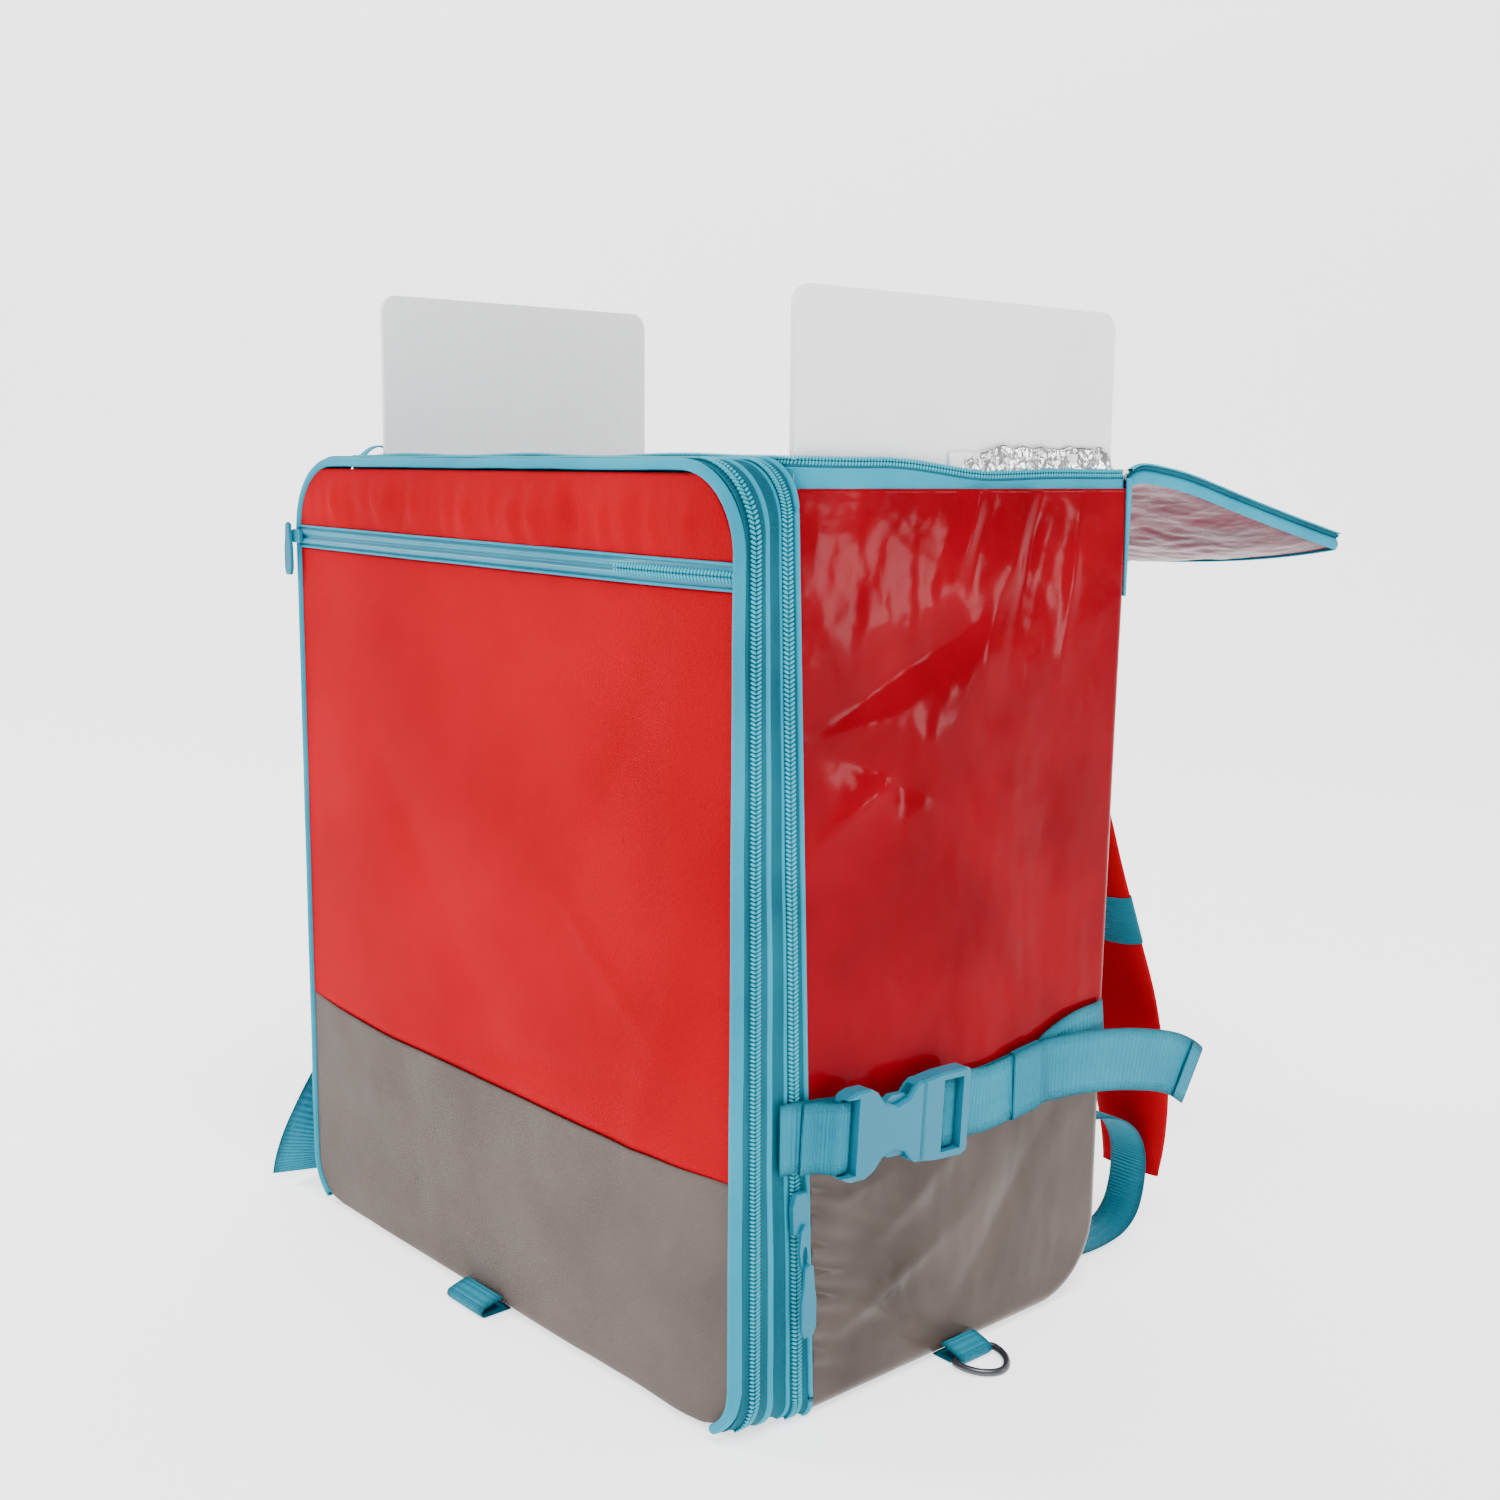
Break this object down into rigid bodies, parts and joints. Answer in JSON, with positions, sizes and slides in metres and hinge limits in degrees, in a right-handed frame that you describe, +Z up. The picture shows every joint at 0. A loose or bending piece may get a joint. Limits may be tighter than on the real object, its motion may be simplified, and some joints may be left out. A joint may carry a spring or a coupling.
{
  "type": "insulated delivery backpack",
  "caption": "Box-shaped insulated backpack with its padded lid thrown open, foil lining, stiffener boards, zipped gusset, side compression straps, foot rings and shoulder straps",
  "frame": {"origin": "the middle of the flat base panel, on the floor the bag stands on", "axes": "+X to the bag's right side as seen from its front, -Y out of the front pocket, +Y to the wearer's back panel, +Z up"},
  "size_m": [0.5094, 0.5497, 0.607],
  "materials": {
    "red": "satin",
    "gloss_red": "gloss",
    "grey": "matte",
    "cyan": "satin",
    "plastic_cyan": "satin",
    "foil": "metallic",
    "board": "matte",
    "steel": "satin"
  },
  "bodies": {
    "bag": {"front_zip": "cyan", "gusset_strip": "red", "rear_zip": "cyan", "body_piping": "cyan", "front_binding": "cyan", "front_panel_grey": "grey", "front_panel_red": "red", "front_top_band": "red", "pocket_zip": "cyan", "side_panel_grey_right": "grey", "side_panel_red_right": "red", "side_panel_grey_left": "grey", "side_panel_red_left": "red", "base_panel": "grey", "back_panel_grey": "grey", "back_panel_red": "red", "liner": "foil", "rim_band": "cyan", "rim_zip": "cyan", "corner_tab_right": "cyan", "corner_tab_left": "cyan", "lid_panel": "gloss_red", "lid_lining": "foil", "lid_band": "cyan", "lid_zip": "cyan", "strap_short_right": "cyan", "strap_long_right": "cyan", "buckle_housing_right": "plastic_cyan", "buckle_ladder_right": "plastic_cyan", "strap_keeper_right": "cyan", "strap_short_left": "cyan", "strap_long_left": "cyan", "buckle_housing_left": "plastic_cyan", "buckle_ladder_left": "plastic_cyan", "loop_front": "cyan", "loop_right": "cyan", "d_ring_right": "steel", "loop_left": "cyan", "d_ring_left": "steel", "rear_slider": "plastic_cyan", "rear_link": "plastic_cyan", "rear_pull": "plastic_cyan", "pocket_slider": "plastic_cyan", "pocket_pull": "plastic_cyan", "shoulder_strap_right": "red", "shoulder_tab_right": "cyan", "lower_webbing_right": "cyan", "shoulder_strap_left": "red", "shoulder_tab_left": "cyan", "lower_webbing_left": "cyan"},
    "board_right": {"stiffener_right": "board"},
    "board_left": {"stiffener_left": "board"}
  },
  "joints": [
    {"name": "board_right_slide", "type": "slide", "parent": "bag", "child": "board_right", "axis": [0, 0, 1], "range_m": [-0.094, 0.345]},
    {"name": "board_left_slide", "type": "slide", "parent": "bag", "child": "board_left", "axis": [0, 0, 1], "range_m": [-0.116, 0.322]}
  ]
}
